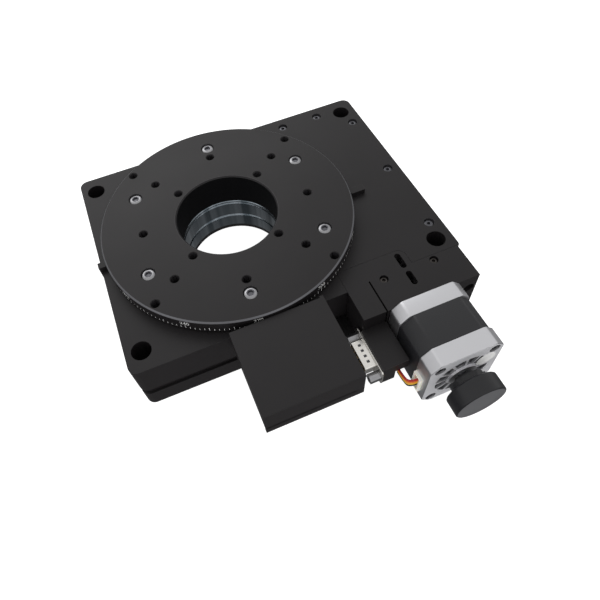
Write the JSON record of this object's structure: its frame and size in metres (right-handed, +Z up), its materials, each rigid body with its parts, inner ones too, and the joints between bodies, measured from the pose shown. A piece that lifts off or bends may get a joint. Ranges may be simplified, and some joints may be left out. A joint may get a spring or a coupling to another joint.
{
  "type": "rotation stage",
  "caption": "Motorised rotation stage: a bored table with tapped holes on a ball bearing, turned by a worm and worm wheel with a stepper motor and a hand knob.",
  "frame": {"origin": "on the table's axis, at the underside of the base", "axes": "+Z up along the table's axis, +X along the base towards the worm, the motor is on the -Y side"},
  "size_m": [0.195, 0.2273, 0.048],
  "materials": {
    "black_anodised": "black hard-anodised, fine satin",
    "satin_aluminium": "satin machined",
    "dark_steel": "turned and blued, satin",
    "bearing_steel": "ground and polished",
    "bright_screw": "bright stainless",
    "black_screw": "black oxide",
    "wheel_bronze": "machined bronze",
    "motor_cap": "fine blasted die-cast",
    "motor_laminations": "black lacquer on stacked steel sheets",
    "white_plastic": "moulded",
    "lead_insulation": "soft insulation in several colours",
    "black_plastic": "moulded",
    "knob_black": "turned, satin black",
    "tin_plate": "tin plated sheet",
    "gold_pin": "gold flash",
    "circuit_board": "solder mask"
  },
  "bodies": {
    "base": {"base_plate": "black_anodised", "base_plate_screws": "black_screw", "pedestal_screws": "black_screw", "stage_housing": "black_anodised", "housing_screws": "black_screw", "bearing_pedestal": "dark_steel", "bearing_outer_ring": "bearing_steel", "bearing_retainer": "satin_aluminium", "front_bearing_carrier": "satin_aluminium", "worm_bearing_outer_rings": "bearing_steel", "motor_block": "black_anodised", "motor_block_screws": "bright_screw", "motor_front_flange": "motor_cap", "motor_stack": "motor_laminations", "motor_rear_cap": "motor_cap", "motor_through_bolts": "black_screw", "motor_bearing_outer_rings": "bearing_steel", "lead_connector": "white_plastic", "motor_leads": "lead_insulation", "connector_bracket": "black_anodised", "dsub_shell": "tin_plate", "dsub_insert": "black_plastic", "dsub_pins": "gold_pin", "dsub_jackscrews": "bright_screw", "sensor_box_cover": "black_anodised", "sensor_box_floor": "black_anodised", "sensor_box_screws": "black_screw", "sensor_board": "circuit_board", "index_block_left": "black_anodised", "index_block_right": "black_anodised"},
    "table": {"rotary_table": "black_anodised", "table_screws": "bright_screw", "wheel_carrier": "satin_aluminium", "worm_wheel": "wheel_bronze", "wheel_screws": "bright_screw", "bearing_inner_ring": "bearing_steel", "bearing_lock_ring": "dark_steel"},
    "ball_cage": {"bearing_cage": "wheel_bronze", "bearing_balls": "bearing_steel"},
    "drive": {"worm_shaft": "bearing_steel", "worm_bearing_inner_rings": "bearing_steel", "worm_lock_nut": "bright_screw", "coupling_worm_hub": "satin_aluminium", "coupling_motor_hub": "satin_aluminium", "coupling_disc": "black_plastic", "coupling_screws": "black_screw", "motor_shaft": "bearing_steel", "motor_rotor": "motor_laminations", "motor_bearing_inner_rings": "bearing_steel", "hand_knob": "knob_black", "knob_set_screw": "black_screw"}
  },
  "joints": [
    {"name": "table_spin", "type": "hinge", "parent": "base", "child": "table", "pos_m": [0, 0, 0.032], "axis": [0, 0, 1], "continuous": true},
    {"name": "cage_spin", "type": "hinge", "parent": "base", "child": "ball_cage", "pos_m": [0, 0, 0.032], "axis": [0, 0, 1], "continuous": true},
    {"name": "worm_spin", "type": "hinge", "parent": "base", "child": "drive", "pos_m": [0.0795, 0, 0.022], "axis": [0, 1, 0], "continuous": true}
  ],
  "couplings": [
    {"joint": "worm_spin", "follows": "table_spin", "ratio": -180},
    {"joint": "cage_spin", "follows": "table_spin", "ratio": 0.47533}
  ]
}
